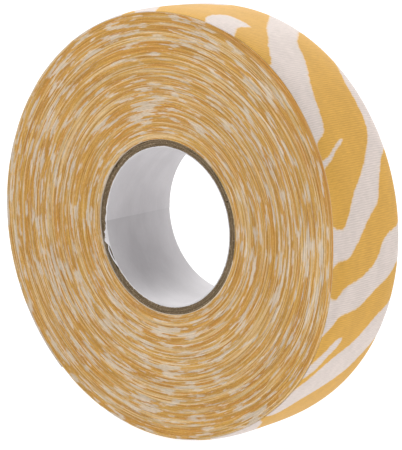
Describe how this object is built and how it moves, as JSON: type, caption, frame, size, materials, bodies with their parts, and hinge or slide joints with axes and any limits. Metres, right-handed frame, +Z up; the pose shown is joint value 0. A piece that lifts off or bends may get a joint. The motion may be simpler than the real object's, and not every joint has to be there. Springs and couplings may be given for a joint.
{
  "type": "grip tape roll",
  "caption": "Upright roll of woven cloth grip tape wound on a cardboard core, with a free end that peels back from the rim.",
  "frame": {"origin": "centre of the core's hole, halfway along its width", "axes": "+Y along the roll's axis, +Z up, with the roll standing on its rim; the tape winds outwards from +X towards +Z"},
  "size_m": [0.1021, 0.024, 0.1019],
  "materials": {
    "printed_cloth": "matte woven cotton, ochre with off-white stripes",
    "wound_layers": "edges of the wound layers, ochre with off-white streaks",
    "adhesive": "tacky, semi-matte",
    "chipboard": "matte grey-brown chipboard",
    "liner_paper": "smooth white paper"
  },
  "bodies": {
    "roll": {"core_liner": "liner_paper", "core_ply_inner": "chipboard", "core_ply_middle": "chipboard", "core_ply_outer": "chipboard", "tape_pack": "wound_layers", "last_turn_adhesive": "adhesive", "last_turn_cloth": "printed_cloth"},
    "tail_1": {"tail_adhesive_1": "adhesive", "tail_cloth_1": "printed_cloth"},
    "tail_2": {"tail_adhesive_2": "adhesive", "tail_cloth_2": "printed_cloth"},
    "tail_3": {"tail_adhesive_3": "adhesive", "tail_cloth_3": "printed_cloth"},
    "tail_4": {"tail_adhesive_4": "adhesive", "tail_cloth_4": "printed_cloth"},
    "tail_5": {"tail_adhesive_5": "adhesive", "tail_cloth_5": "printed_cloth"},
    "tail_6": {"tail_adhesive_6": "adhesive", "tail_cloth_6": "printed_cloth"},
    "tail_7": {"tail_adhesive_7": "adhesive", "tail_cloth_7": "printed_cloth"},
    "tail_8": {"tail_adhesive_8": "adhesive", "tail_cloth_8": "printed_cloth"}
  },
  "joints": [
    {"name": "peel_1", "type": "hinge", "parent": "roll", "child": "tail_1", "pos_m": [-0.0494, 0, 0.01324], "axis": [0, 1, 0], "range_deg": [0, 34]},
    {"name": "peel_2", "type": "hinge", "parent": "tail_1", "child": "tail_2", "pos_m": [-0.05077, 0, 0.00622], "axis": [0, 1, 0], "range_deg": [0, 28]},
    {"name": "peel_3", "type": "hinge", "parent": "tail_2", "child": "tail_3", "pos_m": [-0.05114, 0, -0.00091], "axis": [0, 1, 0], "range_deg": [0, 22]},
    {"name": "peel_4", "type": "hinge", "parent": "tail_3", "child": "tail_4", "pos_m": [-0.05052, 0, -0.00803], "axis": [0, 1, 0], "range_deg": [0, 17]},
    {"name": "peel_5", "type": "hinge", "parent": "tail_4", "child": "tail_5", "pos_m": [-0.04891, 0, -0.01499], "axis": [0, 1, 0], "range_deg": [0, 13]},
    {"name": "peel_6", "type": "hinge", "parent": "tail_5", "child": "tail_6", "pos_m": [-0.04635, 0, -0.02166], "axis": [0, 1, 0], "range_deg": [0, 10]},
    {"name": "peel_7", "type": "hinge", "parent": "tail_6", "child": "tail_7", "pos_m": [-0.04289, 0, -0.02791], "axis": [0, 1, 0], "range_deg": [0, 7]},
    {"name": "peel_8", "type": "hinge", "parent": "tail_7", "child": "tail_8", "pos_m": [-0.03859, 0, -0.03362], "axis": [0, 1, 0], "range_deg": [0, 5]}
  ],
  "couplings": [
    {"joint": "peel_2", "follows": "peel_1", "ratio": 0.82353},
    {"joint": "peel_3", "follows": "peel_1", "ratio": 0.64706},
    {"joint": "peel_4", "follows": "peel_1", "ratio": 0.5},
    {"joint": "peel_5", "follows": "peel_1", "ratio": 0.38235},
    {"joint": "peel_6", "follows": "peel_1", "ratio": 0.29412},
    {"joint": "peel_7", "follows": "peel_1", "ratio": 0.20588},
    {"joint": "peel_8", "follows": "peel_1", "ratio": 0.14706}
  ]
}
